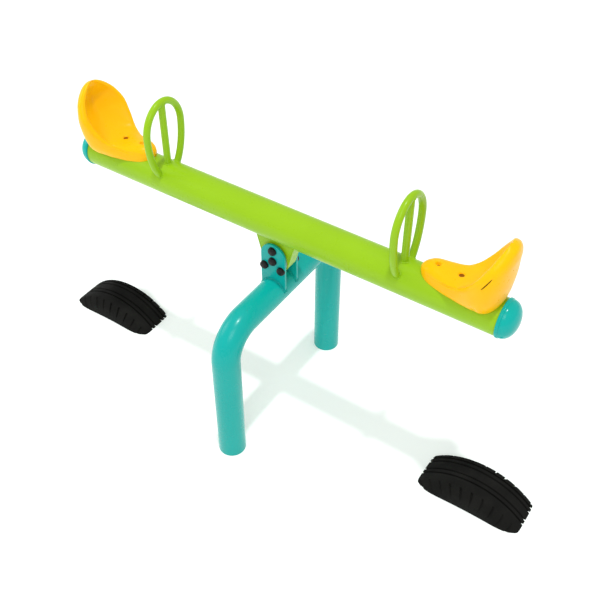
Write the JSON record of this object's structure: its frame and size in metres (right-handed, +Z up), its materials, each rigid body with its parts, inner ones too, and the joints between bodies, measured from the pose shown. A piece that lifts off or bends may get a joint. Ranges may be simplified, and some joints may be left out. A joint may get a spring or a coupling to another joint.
{
  "type": "seesaw",
  "caption": "Playground seesaw with a level tube beam on an inverted U stand, bucket seats, hoop handles and ground tyres.",
  "frame": {"origin": "on the ground under the middle of the pivot", "axes": "+X along the beam towards the right seat, +Y along the cross tube, +Z up"},
  "size_m": [2.2458, 0.808, 1.2455],
  "materials": {
    "green_coat": "gloss powder coat",
    "teal_coat": "gloss powder coat",
    "teal_plastic": "gloss",
    "yellow_plastic": "gloss",
    "black_plastic": "matte",
    "tyre_rubber": "matte",
    "bush_rubber": "matte",
    "zinc_steel": "zinc plated"
  },
  "bodies": {
    "stand": {"u_frame": "teal_coat", "leg_plugs": "zinc_steel", "near_ear_plate": "teal_coat", "far_ear_plate": "teal_coat", "near_bearing_flange": "zinc_steel", "far_bearing_flange": "zinc_steel", "near_flange_studs": "zinc_steel", "far_flange_studs": "zinc_steel", "near_pivot_washers": "zinc_steel", "far_pivot_washers": "zinc_steel", "near_pivot_nuts": "zinc_steel", "far_pivot_nuts": "zinc_steel", "near_bolt_covers": "black_plastic", "far_bolt_covers": "black_plastic", "pivot_axle": "zinc_steel", "stop_pin": "zinc_steel", "left_tyre": "tyre_rubber", "right_tyre": "tyre_rubber"},
    "beam": {"beam_tube": "green_coat", "left_end_cap": "teal_plastic", "right_end_cap": "teal_plastic", "near_saddle_gusset": "green_coat", "far_saddle_gusset": "green_coat", "saddle_strip": "green_coat", "hub_tube": "green_coat", "near_torsion_bush": "bush_rubber", "far_torsion_bush": "bush_rubber", "stop_ring": "zinc_steel", "left_handle_hoop": "green_coat", "right_handle_hoop": "green_coat", "left_handle_bar": "green_coat", "right_handle_bar": "green_coat", "left_seat": "yellow_plastic", "right_seat": "yellow_plastic", "seat_bolts": "zinc_steel", "seat_nuts": "zinc_steel"}
  },
  "joints": [
    {"name": "beam_tilt", "type": "hinge", "parent": "stand", "child": "beam", "pos_m": [0, 0, 0.758], "axis": [0, 1, 0], "range_deg": [-20, 20], "stiffness_Nm_per_rad": 400}
  ]
}
